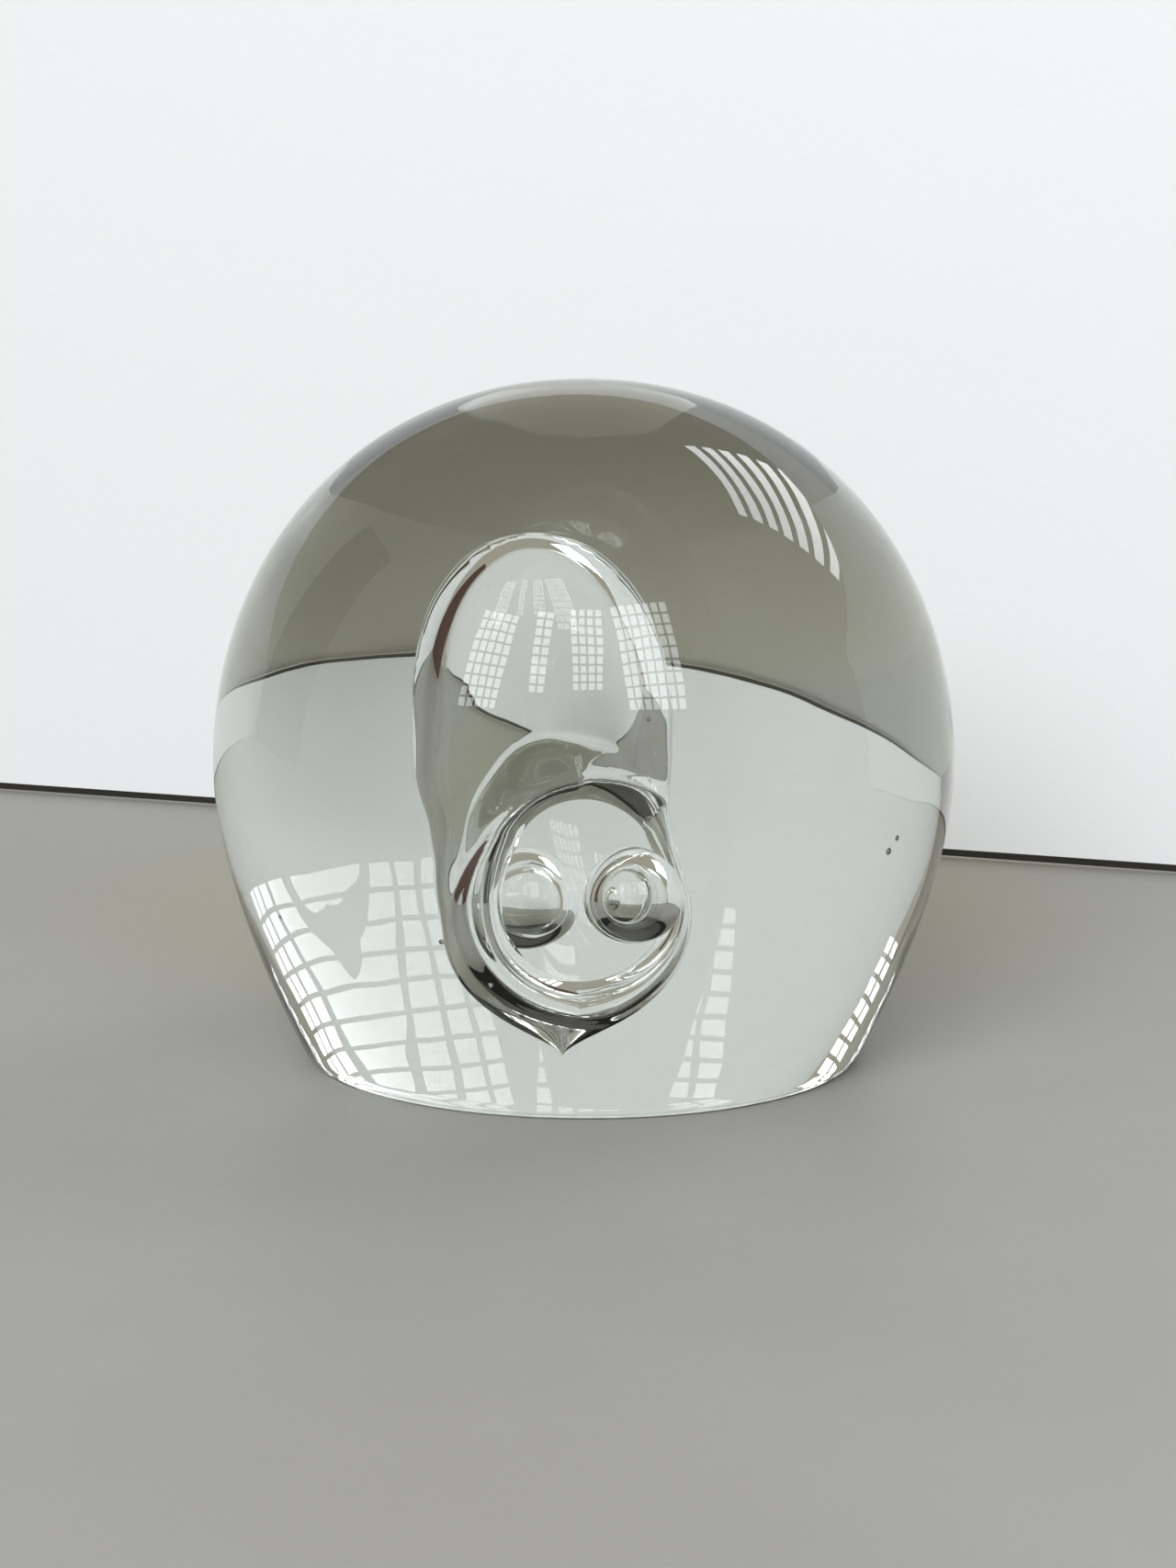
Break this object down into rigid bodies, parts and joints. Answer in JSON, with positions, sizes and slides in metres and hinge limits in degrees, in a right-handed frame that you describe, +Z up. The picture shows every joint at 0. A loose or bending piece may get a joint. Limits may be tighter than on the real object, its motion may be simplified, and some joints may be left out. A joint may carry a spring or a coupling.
{
  "type": "paperweight",
  "caption": "Heavy clear glass dome paperweight with a flat ground base and an owl-shaped air bubble, pierced by a ring that holds two round bubble eyes.",
  "frame": {"origin": "centre of the flat ground base, at the level of the surface that it stands on", "axes": "+Z up through the dome, the owl looks towards -Y, with its face turned 12 degrees towards +X and its hood turned 4 degrees the other way"},
  "size_m": [0.1, 0.1, 0.0914],
  "materials": {
    "casing_glass": "fire-polished clear soda glass, faint grey-green tint, base ground flat and polished",
    "gather_glass": "clear soda glass, the inner gathers, fused to the casing with no visible seam",
    "trapped_air": "trapped air, seen as a bright mirror-smooth wall"
  },
  "bodies": {
    "root": {"outer_casing": "casing_glass", "cover_gather": "gather_glass", "core_gather": "gather_glass", "cloak_bubble": "trapped_air", "left_eye_bubble": "trapped_air", "right_eye_bubble": "trapped_air", "seed_bubbles": "trapped_air"}
  },
  "joints": []
}
